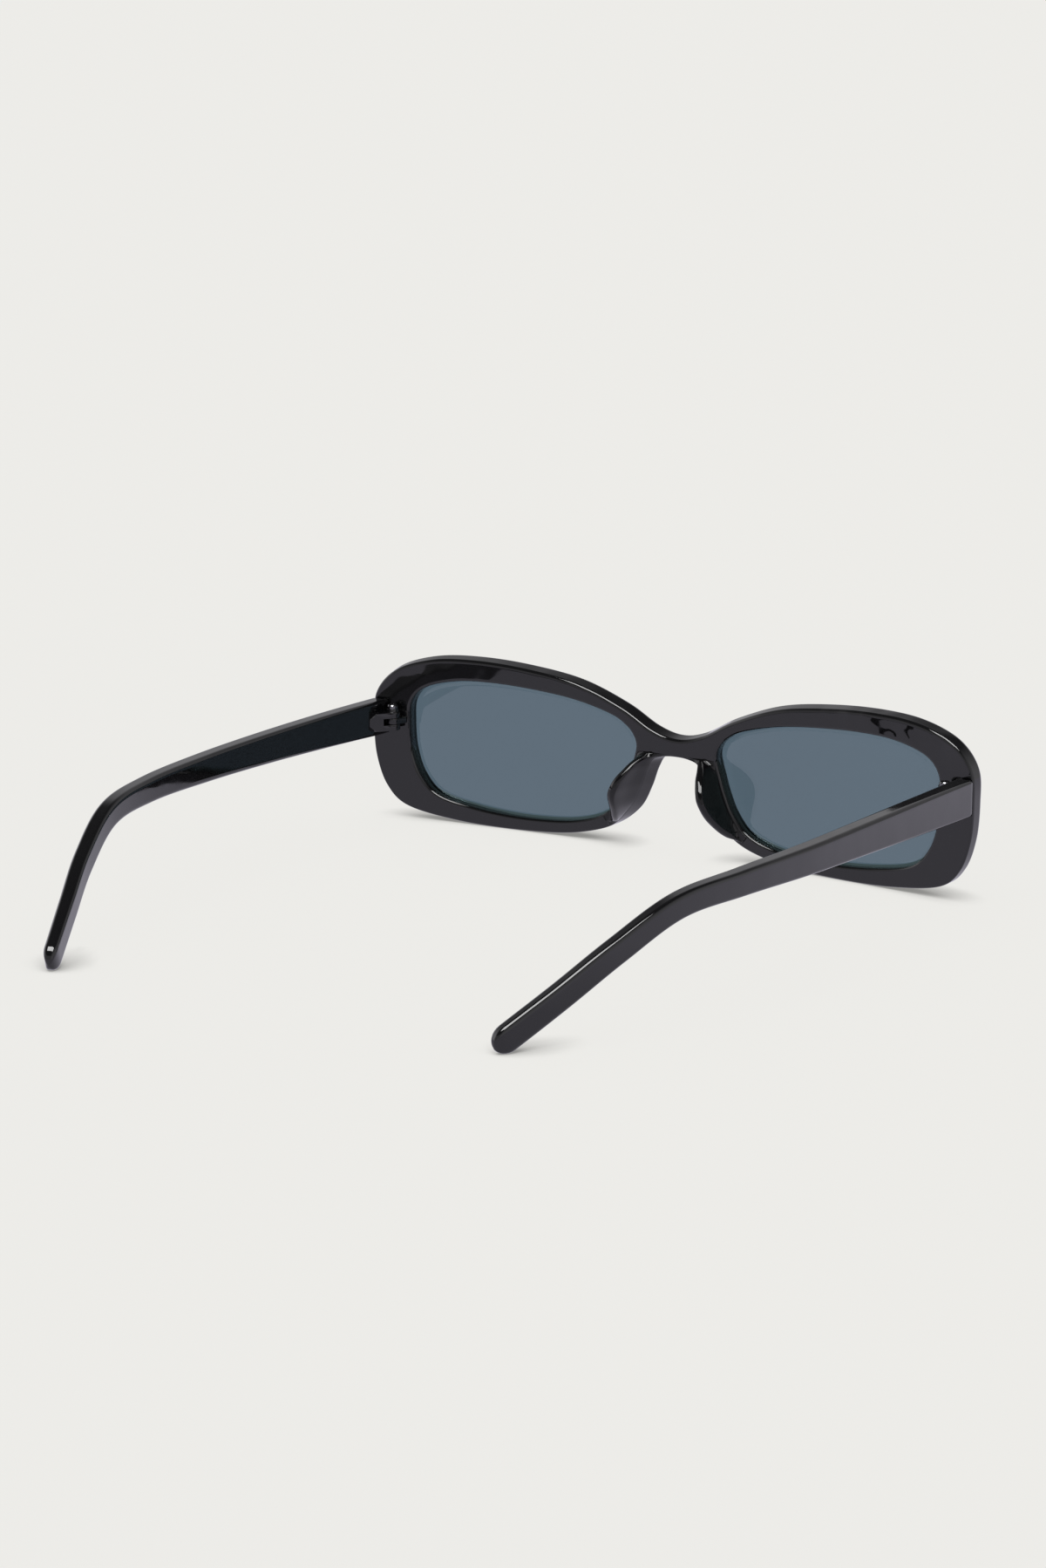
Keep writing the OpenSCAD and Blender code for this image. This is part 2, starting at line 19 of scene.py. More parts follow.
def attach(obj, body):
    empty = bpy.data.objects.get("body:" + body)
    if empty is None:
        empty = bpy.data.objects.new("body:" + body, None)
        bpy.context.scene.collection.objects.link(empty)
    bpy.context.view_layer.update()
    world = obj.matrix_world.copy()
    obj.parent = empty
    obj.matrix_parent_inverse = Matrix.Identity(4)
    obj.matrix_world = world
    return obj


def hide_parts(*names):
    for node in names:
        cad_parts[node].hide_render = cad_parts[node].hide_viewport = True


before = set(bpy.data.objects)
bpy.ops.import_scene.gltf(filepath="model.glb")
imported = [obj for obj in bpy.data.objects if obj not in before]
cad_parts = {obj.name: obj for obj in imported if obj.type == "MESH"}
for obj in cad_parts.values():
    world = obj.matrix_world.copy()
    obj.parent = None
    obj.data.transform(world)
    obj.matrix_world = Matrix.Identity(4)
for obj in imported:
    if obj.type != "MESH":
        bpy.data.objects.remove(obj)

LOG = logging.getLogger("sunglasses")
MM = 0.001
RIGHT_ANGLE = np.pi / 2
# How far the middle of the footprint lies behind the middle of the front's rear face.
MIDDLE_Y = 68.6626


class Side(Enum):
    """Side of the wearer: the sign of X."""

    LEFT = 1
    RIGHT = -1

    @property
    def word(self) -> str:
        """Word that ends a piece's name."""
        return self.name.lower()


class Axis(Enum):
    """Level axis of a direction, by the name of its socket."""

    X = "X"
    Y = "Y"


class Weld(Enum):
    """How near points are merged when a mesh is closed, in metres."""

    NONE = 0.0
    SEAM = 2e-6
    CAD = 1e-6


# Arrays, curves and meshes


def ease(t: np.ndarray) -> np.ndarray:
    """Smooth step: 3 t squared minus 2 t cubed, with t held between 0 and 1."""
    c = np.clip(t, 0.0, 1.0)
    return c * c * (3.0 - 2.0 * c)


def unit(v: np.ndarray) -> np.ndarray:
    """Vectors scaled to length 1, along the last axis."""
    return v / np.linalg.norm(v, axis=-1, keepdims=True)


@dataclass(frozen=True)
class Curve:
    """Smooth curve through points, one unit of u for each span.

    Each span is the cubic between its two points whose slope at either point is half the
    chord between that point's neighbours.
    """

    points: np.ndarray
    before: np.ndarray
    after: np.ndarray

    @staticmethod
    def closed(points: np.ndarray) -> "Curve":
        """Curve that goes round and comes back to its first point."""
        return Curve(np.vstack([points, points[:1]]), points[-1], points[1])

    @staticmethod
    def of_values(values: np.ndarray) -> "Curve":
        """Curve through single values, with its first and last value held at the ends."""
        pairs = np.stack([values, values], axis=1)
        return Curve(pairs, pairs[0], pairs[-1])

    @property
    def last(self) -> int:
        """Value of u at the last point."""
        return len(self.points) - 1

    def _around(self, u: np.ndarray) -> tuple[np.ndarray, ...]:
        """Finds the span of each u.

        Args:
            u: places along the curve.

        Returns:
            The point before the span, its two points, the point after, and the share t of
            the span that lies before u.
        """
        p = np.vstack([self.before[None], self.points, self.after[None]])
        i = np.clip(np.floor(u).astype(int), 0, self.last - 1)
        return p[i], p[i + 1], p[i + 2], p[i + 3], (u - i)[:, None]

    def at(self, u: np.ndarray) -> np.ndarray:
        """Points at each u."""
        a, b, c, d, t = self._around(u)
        return 0.5 * (2 * b + (c - a) * t + (2 * a - 5 * b + 4 * c - d) * t**2
                      + (3 * b - a - 3 * c + d) * t**3)

    def way(self, u: np.ndarray) -> np.ndarray:
        """Unit direction of travel at each u, from the cubic's own slope."""
        a, b, c, d, t = self._around(u)
        return unit(0.5 * ((c - a) + 2 * (2 * a - 5 * b + 4 * c - d) * t
                           + 3 * (3 * b - a - 3 * c + d) * t**2))


def grid_faces(rows: int, cols: int, wrap_rows: bool = False) -> np.ndarray:
    """Quads of a grid of points whose columns wrap round.

    Args:
        rows: number of rows of points.
        cols: number of points in a row, which is a closed loop.
        wrap_rows: whether the last row joins the first.

    Returns:
        One row of four point numbers for each quad.
    """
    i, j = np.meshgrid(np.arange(rows if wrap_rows else rows - 1), np.arange(cols),
                       indexing="ij")
    i, j = i.ravel(), j.ravel()
    i2, j2 = (i + 1) % rows, (j + 1) % cols
    return np.stack([i * cols + j, i2 * cols + j, i2 * cols + j2, i * cols + j2], axis=1)


def fan_faces(centre: int, ring: np.ndarray) -> list[list[int]]:
    """Triangles from one point to each edge of a closed ring of points."""
    return np.stack([np.full_like(ring, centre), ring, np.roll(ring, -1)], axis=1).tolist()


def capped_faces(rows: int, cols: int) -> list[list[int]]:
    """Faces of a tube of rings, closed by a fan at each end.

    Args:
        rows: number of rings.
        cols: number of points in a ring.

    Returns:
        Point numbers of each face. The two middle points of the fans follow the grid's.
    """
    total = rows * cols
    return (grid_faces(rows, cols).tolist() + fan_faces(total, np.arange(cols)[::-1])
            + fan_faces(total + 1, np.arange(total - cols, total)))


def make_piece(name: str, points: np.ndarray, faces: list[list[int]], body: str,
               weld: Weld = Weld.NONE) -> bpy.types.Object:
    """Puts points and faces into a smooth mesh that rides on a CAD body.

    Args:
        name: name of the piece.
        points: points in millimetres, in the CAD's own lengthwise place.
        faces: point numbers of each face.
        body: CAD body that the piece rides on.
        weld: how near points are merged.

    Returns:
        The new object, with its faces pointing out.
    """
    place = (points - np.array([0.0, MIDDLE_Y, 0.0])) * MM
    mesh = bpy.data.meshes.new(name)
    mesh.from_pydata(place.tolist(), [], faces)
    shape = bmesh.new()
    shape.from_mesh(mesh)
    if weld is not Weld.NONE:
        bmesh.ops.remove_doubles(shape, verts=shape.verts, dist=weld.value)
    bmesh.ops.recalc_face_normals(shape, faces=shape.faces)
    shape.to_mesh(mesh)
    shape.free()
    mesh.polygons.foreach_set("use_smooth", np.ones(len(mesh.polygons), dtype=bool))
    piece = bpy.data.objects.new(name, mesh)
    bpy.context.scene.collection.objects.link(piece)
    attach(piece, body)
    return piece


# Finishes


@dataclass(frozen=True)
class Grain:
    """Pattern of noise: its cells per metre, and how much finer noise lies on them."""

    scale: float
    detail: float


class Graph:
    """Node tree of one material or world, with short calls to add and join nodes."""

    def __init__(self, owner: Any) -> None:
        """Starts an empty tree on a material or a world."""
        owner.use_nodes = True
        self.tree = owner.node_tree
        self.tree.nodes.clear()

    def add(self, kind: str, values: dict[str, Any] | None = None, **settings: Any) -> Any:
        """Adds a node.

        Args:
            kind: Blender's name of the node.
            values: input values by socket name.
            settings: properties of the node.

        Returns:
            The node.
        """
        node = self.tree.nodes.new(kind)
        for key, value in settings.items():
            setattr(node, key, value)
        for key, value in (values or {}).items():
            node.inputs[key].default_value = value
        return node

    def join(self, source: Any, target: Any, into: str | int) -> None:
        """Links an output socket to an input of a node."""
        self.tree.links.new(source, target.inputs[into])

    def noise(self, grain: Grain) -> Any:
        """Adds noise on object coordinates.

        Args:
            grain: pattern of the noise.

        Returns:
            The socket of its value.
        """
        place = self.add("ShaderNodeTexCoord")
        noise = self.add("ShaderNodeTexNoise", {"Scale": grain.scale, "Detail": grain.detail})
        self.join(place.outputs["Object"], noise, "Vector")
        return noise.outputs["Fac"]

    def parts(self, space: str) -> Any:
        """Splits a coordinate.

        Args:
            space: name of the coordinate's socket.

        Returns:
            The sockets of its X, Y and Z.
        """
        place = self.add("ShaderNodeTexCoord")
        parts = self.add("ShaderNodeSeparateXYZ")
        self.join(place.outputs[space], parts, "Vector")
        return parts.outputs

    def ramp(self, source: Any, band: tuple[float, float],
             levels: tuple[float, float]) -> Any:
        """Maps a value from one range to another, held at its ends.

        Args:
            source: socket of the value.
            band: values between which the result changes.
            levels: what the result is at each of them.

        Returns:
            The socket of the result.
        """
        node = self.add("ShaderNodeMapRange", {"From Min": band[0], "From Max": band[1],
                                               "To Min": levels[0], "To Max": levels[1]})
        self.join(source, node, "Value")
        return node.outputs["Result"]

    def math(self, operation: str, first: Any, second: Any) -> Any:
        """Works out one value from two.

        Args:
            operation: Blender's name of the operation.
            first: socket of the first value.
            second: socket of the second value, or a number.

        Returns:
            The socket of the result.
        """
        node = self.add("ShaderNodeMath", operation=operation)
        self.join(first, node, 0)
        if isinstance(second, float):
            node.inputs[1].default_value = second
        else:
            self.join(second, node, 1)
        return node.outputs["Value"]

    def blend(self, share: Any, first: tuple[float, ...], second: tuple[float, ...]) -> Any:
        """Mixes two colours.

        Args:
            share: socket of the second colour's share.
            first: first colour.
            second: second colour.

        Returns:
            The socket of the mixed colour.
        """
        node = self.add("ShaderNodeMix", {"A": (*first, 1.0), "B": (*second, 1.0)},
                        data_type="RGBA")
        self.join(share, node, "Factor")
        return node.outputs["Result"]

    def cover(self, share: Any, under: Any, over: Any) -> Any:
        """Lays one shader over another.

        Args:
            share: socket of the upper shader's share.
            under: socket of the lower shader.
            over: socket of the upper shader.

        Returns:
            The socket of the mixed shader.
        """
        node = self.add("ShaderNodeMixShader")
        for place, source in enumerate((share, under, over)):
            self.join(source, node, place)
        return node.outputs["Shader"]

    def seen_straight(self, path: Any) -> Any:
        """Value that is 1 where the camera sees a surface itself or through a lens."""
        return self.math("MAXIMUM", path.outputs["Is Camera Ray"],
                         path.outputs["Is Transmission Ray"])


@dataclass(frozen=True)
class Coat:
    """A material made from a finish, with the record's slot that it fills."""

    material: bpy.types.Material
    slot: str

    def dress(self, piece: bpy.types.Object) -> None:
        """Gives a piece this one material.

        Args:
            piece: piece to dress.
        """
        piece.data.materials.clear()
        piece.data.materials.append(self.material)


@dataclass(frozen=True)
class Finish:
    """What all finishes have: a name, the record's slot, and one shader to fill in."""

    name: str
    slot: str

    def fill(self, g: Graph, skin: Any) -> None:
        """Fills in the shader, which each kind of finish does in its own way."""
        raise NotImplementedError

    def coat(self) -> Coat:
        """Makes the material.

        Returns:
            The material with its slot.
        """
        owner = bpy.data.materials.new(self.name)
        g = Graph(owner)
        out = g.add("ShaderNodeOutputMaterial")
        skin = g.add("ShaderNodeBsdfPrincipled")
        g.join(skin.outputs["BSDF"], out, "Surface")
        self.fill(g, skin)
        return Coat(owner, self.slot)


@dataclass(frozen=True)
class MouldedPlastic(Finish):
    """Polished plastic from a mould: near-black, with a faint swell left by the polish.

    The swell is full along the brow and slight below it, and it is higher on the outer
    part of the right rim and on the right temple.
    """

    dark: tuple[float, float, float] = (0.0026, 0.0026, 0.0029)
    light: tuple[float, float, float] = (0.0042, 0.0041, 0.0046)
    mottle: Grain = Grain(60.0, 3.0)
    roughness: float = 0.03
    uneven: float = 0.04
    wipe: Grain = Grain(420.0, 4.0)
    wipe_band: tuple[float, float] = (0.35, 0.75)
    ripple: Grain = Grain(120.0, 1.0)
    swell: float = 0.00022
    brow_band: tuple[float, float] = (0.026, 0.031)
    low_swell: float = 0.12
    right_band: tuple[float, float] = (-0.044, -0.034)
    right_swell: float = 3.7
    ior: float = 1.5

    def _swell_height(self, g: Graph) -> Any:
        """Works out the height of the swell, as a share of its full size.

        Args:
            g: node tree of the material.

        Returns:
            The socket of the height.
        """
        parts = g.parts("Object")
        up = g.ramp(parts["Z"], self.brow_band, (self.low_swell, 1.0))
        beyond = g.ramp(parts["X"], self.right_band, (self.right_swell, 1.0))
        return g.math("MULTIPLY", g.noise(self.ripple), g.math("MULTIPLY", up, beyond))

    def fill(self, g: Graph, skin: Any) -> None:
        """Fills in a mottled colour, an uneven gloss and the swell.

        Args:
            g: node tree of the material.
            skin: shader to fill in.
        """
        skin.inputs["IOR"].default_value = self.ior
        g.join(g.blend(g.noise(self.mottle), self.dark, self.light), skin, "Base Color")
        gloss = g.ramp(g.noise(self.wipe), self.wipe_band,
                       (self.roughness, self.roughness + self.uneven))
        g.join(gloss, skin, "Roughness")
        bump = g.add("ShaderNodeBump", {"Strength": 1.0, "Distance": self.swell})
        g.join(self._swell_height(g), bump, "Height")
        g.join(bump.outputs["Normal"], skin, "Normal")


@dataclass(frozen=True)
class TintedLens(Finish):
    """Blue-grey tinted plastic, clear to look through, with a faint cloud in its tint."""

    name: str = "tinted lens"
    slot: str = "lens_tint"
    tint: tuple[float, float, float] = (0.116, 0.176, 0.193)
    cloud: Grain = Grain(25.0, 1.0)
    cloud_gain: float = 1.03
    ior: float = 1.5

    def fill(self, g: Graph, skin: Any) -> None:
        """Fills in a smooth pane that lets tinted light through.

        Args:
            g: node tree of the material.
            skin: shader to fill in.
        """
        skin.inputs["IOR"].default_value = self.ior
        skin.inputs["Transmission Weight"].default_value = 1.0
        skin.inputs["Roughness"].default_value = 0.0
        pale = tuple(c * self.cloud_gain for c in self.tint)
        g.join(g.blend(g.noise(self.cloud), self.tint, pale), skin, "Base Color")


@dataclass(frozen=True)
class ScrewSteel(Finish):
    """Turned steel of the hinge screws, with fine turning marks."""

    name: str = "screw steel"
    slot: str = "screw_steel"
    colour: tuple[float, float, float] = (0.16, 0.16, 0.165)
    mark_share: float = 0.8
    marks: Grain = Grain(2500.0, 3.0)
    mark_band: tuple[float, float] = (0.3, 0.7)
    roughness: tuple[float, float] = (0.10, 0.20)

    def fill(self, g: Graph, skin: Any) -> None:
        """Fills in metal whose marks show in its colour and its roughness.

        Args:
            g: node tree of the material.
            skin: shader to fill in.
        """
        skin.inputs["Metallic"].default_value = 1.0
        marks = g.noise(self.marks)
        marked = tuple(c * self.mark_share for c in self.colour)
        g.join(g.blend(marks, marked, self.colour), skin, "Base Color")
        g.join(g.ramp(marks, self.mark_band, self.roughness), skin, "Roughness")


# The front and what it holds


@dataclass(frozen=True)
class FrontShape:
    """Sizes and curves of the front, which the rims, lenses and pads share.

    A place u along the rim counts the points of the outer outline: the brow runs from the
    bridge at 0 to brow_last, the lower edge goes on from low_first, and the rest is the
    nose side, back to the bridge.
    """

    lens_w: float = 53.0
    lens_h: float = 27.8
    lens_gap: float = 19.0
    lens_t: float = 1.2
    lens_back: float = 1.8
    groove_d: float = 0.8
    lens_fit: float = 0.05
    front_t: float = 4.4
    end_t: float = 3.8
    face_radius: float = 455.0
    rim_side: float = 8.3
    rim_top: float = 4.8
    rim_bottom: float = 2.7
    rim_nose: float = 4.4
    bridge_z: float = 19.8
    bridge_h: float = 4.1
    brow_edge_r: float = 0.75
    brow_lean: float = 0.4
    brow_last: float = 7.0
    low_first: float = 10.0
    low_edge_r: float = 0.4
    least_edge_r: float = 0.05
    show_edge_r: float = 1.4
    opening_r: float = 0.5
    pad_first: float = 16.75
    pad_last: float = 21.5
    pad_fade: float = 0.5
    nose_splay: float = 0.8
    splay_fade: float = 1.25

    @property
    def half_w(self) -> float:
        """Half the width of the front."""
        return self.lens_gap / 2 + self.lens_w + self.rim_side

    @property
    def height(self) -> float:
        """Height of the front."""
        return self.lens_h + self.rim_top + self.rim_bottom

    def rim(self) -> Curve:
        """Draws the outer outline of the left half.

        Returns:
            The curve from the bridge's top round to its lower edge, through a brow in
            percent of the front, and a nose side and shoulder in percent of the lens's
            width and the front's height.
        """
        brow = np.array([[8.2, 71.5], [18.5, 82.4], [33.5, 93.2], [50.6, 98.3], [66.9, 100],
                         [81.1, 98], [92.9, 90.1], [99.3, 75.8], [100, 56.7], [99, 35.7],
                         [95.5, 17.8], [88.7, 6.8], [73.2, 1.4], [56.3, 0], [39.4, 1.4],
                         [28.2, 5.4]]) / 100 * [self.half_w, self.height]
        nose = np.array([[17.5, 11.5], [8.9, 22.1], [4.3, 34.8]]) / 100
        shoulder = np.array([[1.3, 9.4], [-2.2, 1.8]]) / 100
        start = self.lens_gap / 2 - self.rim_nose
        nose = np.stack([start + nose[:, 0] * self.lens_w, nose[:, 1] * self.height], axis=1)
        shoulder = np.stack([start + shoulder[:, 0] * self.lens_w,
                             self.bridge_z - shoulder[:, 1] * self.height], axis=1)
        line = np.vstack([[[0, self.bridge_z + self.bridge_h]], brow, nose, shoulder,
                          [[0, self.bridge_z]]])
        flip = np.array([-1.0, 1.0])
        return Curve(line, line[1] * flip, line[-2] * flip)

    def opening(self) -> Curve:
        """Draws the lens opening of the left half, in percent of the lens's box.

        Returns:
            The closed curve, with one point for each of the outer outline.
        """
        share = np.array([[1.1, 73], [4.3, 79.9], [11.3, 87.1], [27.4, 94.6], [46.2, 98.5],
                          [64.2, 100], [79.5, 98.5], [93, 91.7], [99.1, 80.2], [100, 64],
                          [99.1, 42.8], [95.5, 24.1], [87.7, 10.1], [71.7, 3.2], [52.8, 0.2],
                          [34, 1.3], [21.3, 5.8], [13, 13.3], [7.4, 25.5], [4, 39.2],
                          [1.9, 51.4], [0.6, 59.4], [0, 66.5]]) / 100
        return Curve.closed(share * [self.lens_w, self.lens_h]
                            + [self.lens_gap / 2, self.rim_bottom])

    def rear_y(self, x: np.ndarray) -> np.ndarray:
        """Distance back of the rear face: a circle of face_radius seen from above."""
        return self.face_radius - np.sqrt(self.face_radius**2 - x * x)

    def thickness(self, x: np.ndarray) -> np.ndarray:
        """Thickness of the front, which falls with the square of x towards its ends."""
        return self.front_t - (self.front_t - self.end_t) * (x / self.half_w) ** 2

    def behind_rear(self, flat: np.ndarray, depth: float | np.ndarray) -> np.ndarray:
        """Lifts outline points on to the rear face, forward of it by a depth."""
        return np.stack([flat[:, 0], self.rear_y(flat[:, 0]) - depth, flat[:, 1]], axis=1)

    def behind_show(self, flat: np.ndarray, behind: float | np.ndarray) -> np.ndarray:
        """Lifts outline points to a distance behind the show face."""
        return self.behind_rear(flat, self.thickness(flat[:, 0]) - behind)

    def edges(self, u: np.ndarray) -> tuple[np.ndarray, ...]:
        """Places both edges of the rim.

        Past the outline's last point, u goes straight up across the bridge's middle, where
        the outer edge has no normal.

        Args:
            u: places along the rim.

        Returns:
            Opening points, their outward normals, rim points and their inward normals.
        """
        rim, hole = self.rim(), self.opening()
        along = np.minimum(u, rim.last)
        way, turn = rim.way(along), hole.way(u)
        outer = rim.at(along)
        across = u > rim.last
        outer[across] = np.stack([np.zeros(across.sum()), self.bridge_z
                                  + (u[across] - rim.last) * self.bridge_h], axis=1)
        inward = np.stack([way[:, 1], -way[:, 0]], axis=1)
        inward[across] = 0.0
        return hole.at(u), np.stack([-turn[:, 1], turn[:, 0]], axis=1), outer, inward

    def rear_edge(self, u: np.ndarray) -> tuple[np.ndarray, np.ndarray]:
        """Sizes the rear outer edge.

        The top of the brow leans in towards its crease. The edge is splayed beside the
        nose, and has nearly no rounding along the foot of the pad.

        Args:
            u: places along the rim.

        Returns:
            The rounding at each u, and how far the edge stands in.
        """
        low = ease((u - self.brow_last) / (self.low_first - self.brow_last))
        plain = self.brow_edge_r + (self.low_edge_r - self.brow_edge_r) * low
        after, left = u - self.pad_first, self.pad_last - u
        held = ease(after / self.pad_fade) * ease(left / self.pad_fade)
        splay = ease(after / self.splay_fade) * ease(left / self.splay_fade)
        return (np.maximum(self.least_edge_r, plain * (1 - held)),
                self.nose_splay * splay + self.brow_lean * (1 - low))


@dataclass(frozen=True)
class Rims:
    """Both rims and the bridge, moulded in one piece."""

    shape: FrontShape
    steps: int = 12
    bridge_steps: int = 8
    arc: int = 7
    hold: float = 0.2
    top_rows: tuple[float, float] = (0.04, 0.96)

    def _across(self, line: np.ndarray) -> np.ndarray:
        """Sets the last rings evenly from the lower to the upper edge of the bridge.

        Args:
            line: outline points of one row, by ring.

        Returns:
            The same points, with those across the bridge's middle moved.
        """
        count = self.bridge_steps - 1
        share = np.arange(1, self.bridge_steps) / self.bridge_steps
        line[-count:] = line[-count - 1] + share[:, None] * (line[0] - line[-count - 1])
        return line

    def _face(self, start: np.ndarray, end: np.ndarray, way_in: np.ndarray,
              way_out: np.ndarray) -> list[np.ndarray]:
        """Rows over one flat face: a row held beside each edge, and one halfway.

        Args:
            start: points along the edge where the face starts.
            end: points along the edge where it ends.
            way_in: direction square to the first edge, into the face.
            way_out: direction square to the second edge, out of the face.

        Returns:
            The three rows, as outline points.
        """
        ahead = unit(end - start)
        return [start + unit(ahead + way_in) * self.hold, (start + end) / 2,
                end - unit(ahead + way_out) * self.hold]

    def _rows(self, u: np.ndarray) -> tuple[np.ndarray, int, int]:
        """Works out the section of the rim at each u.

        Each section goes from the rear face over a quarter-round into the opening, round
        the lens groove, over the show face and back round the two quarter-rounds of the
        outer edge, and closes over the rear face.

        Args:
            u: places along the rim, one for each ring.

        Returns:
            Points by ring and row, and the first and last row of the outer edge.
        """
        s = self.shape
        a, na, b, nb = s.edges(u)
        r, g = (size[:, None] for size in s.rear_edge(u))
        turns = np.linspace(0, RIGHT_ANGLE, self.arc)
        c, e = s.opening_r, s.show_edge_r
        lip_r = c / 2
        inner = [s.behind_rear(a + na * c * (1 - np.sin(t)), c * (1 - np.cos(t)))
                 for t in turns]
        groove = [s.behind_rear(a, s.lens_back),
                  s.behind_rear(a + na * s.groove_d, s.lens_back + s.lens_t / 2),
                  s.behind_rear(a, s.lens_back + s.lens_t)]
        lip = [s.behind_show(a + na * lip_r * (1 - np.cos(t)), lip_r * (1 - np.sin(t)))
               for t in turns]
        near, far = a + na * lip_r, self._across(b + nb * e)
        show = [s.behind_show(row, 0.0) for row in self._face(near, far, na, -nb)]
        edge = [s.behind_show(far + (b - far) * np.sin(t), e * (1 - np.cos(t)))
                for t in turns]
        near, far = self._across(b + nb * (g + r)), a + na * c
        back = [s.behind_rear(near - nb * r * np.cos(t), (r * (1 - np.sin(t)))[:, 0])
                for t in turns]
        top = [edge[-1] + (back[0] - edge[-1]) * share for share in self.top_rows]
        rear = [s.behind_rear(row, 0.0) for row in self._face(near, far, nb, -na)]
        within, outer = inner + groove + lip + show, edge + top + back
        first = len(within)
        return np.stack(within + outer + rear, axis=1), first, first + len(outer) - 1

    def build(self, coat: Coat) -> bpy.types.Object:
        """Builds both halves, mirrored and welded along the bridge's middle.

        Past the outline's last point the outer edge lies in the middle plane, where the
        halves meet, so it has no faces there.

        Args:
            coat: finish of the piece.

        Returns:
            The piece.
        """
        last = self.shape.rim().last
        u = np.concatenate([np.linspace(0, last, last * self.steps + 1),
                            last + np.arange(1, self.bridge_steps) / self.bridge_steps])
        points, first_row, last_row = self._rows(u)
        rings, rows = points.shape[:2]
        faces = grid_faces(rings, rows, wrap_rows=True)
        ring, row = np.divmod(faces[:, 0], rows)
        outer_edge = (row >= first_row) & (row < last_row)
        faces = faces[~((ring >= last * self.steps) & outer_edge)]
        half = points.reshape(-1, 3)
        both = np.vstack([half, half * [-1, 1, 1]])
        faces = np.vstack([faces, faces[:, ::-1] + len(half)])
        used, place = np.unique(faces, return_inverse=True)
        faces = place.reshape(faces.shape)
        piece = make_piece("rims", both[used], faces.tolist(), "front", Weld.SEAM)
        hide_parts("front")
        coat.dress(piece)
        return piece


@dataclass(frozen=True)
class Lens:
    """One lens: curved with the front, with a bevelled edge that lies in the groove."""

    shape: FrontShape
    side: Side
    steps: int = 8
    rings: int = 12

    def build(self, coat: Coat) -> bpy.types.Object:
        """Builds both faces as rings scaled about the lens's middle, and the bevel.

        Args:
            coat: finish of the piece.

        Returns:
            The piece.
        """
        s = self.shape
        turns = s.opening().last
        u = np.linspace(0, turns, turns * self.steps, endpoint=False)
        a, na, _, _ = s.edges(u)
        middle = np.array([s.lens_gap / 2 + s.lens_w / 2, s.rim_bottom + s.lens_h / 2])
        near, far = s.lens_back + s.lens_fit, s.lens_back + s.lens_t - s.lens_fit
        rim = a - na * s.lens_fit
        share = np.linspace(0, 1, self.rings + 1)[1:]
        rear = [s.behind_rear(middle + (rim - middle) * k, near) for k in share]
        ridge = [s.behind_rear(a + na * (s.groove_d - 2 * s.lens_fit),
                               s.lens_back + s.lens_t / 2)]
        show = [s.behind_rear(middle + (rim - middle) * k, far) for k in share[::-1]]
        rows = np.stack(rear + ridge + show)
        poles = [s.behind_rear(middle[None], near), s.behind_rear(middle[None], far)]
        points = np.vstack([rows.reshape(-1, 3), *poles]) * [self.side.value, 1, 1]
        piece = make_piece(f"lens_pane_{self.side.word}", points,
                           capped_faces(*rows.shape[:2]), "front")
        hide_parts(f"lens_{self.side.word}")
        coat.dress(piece)
        return piece


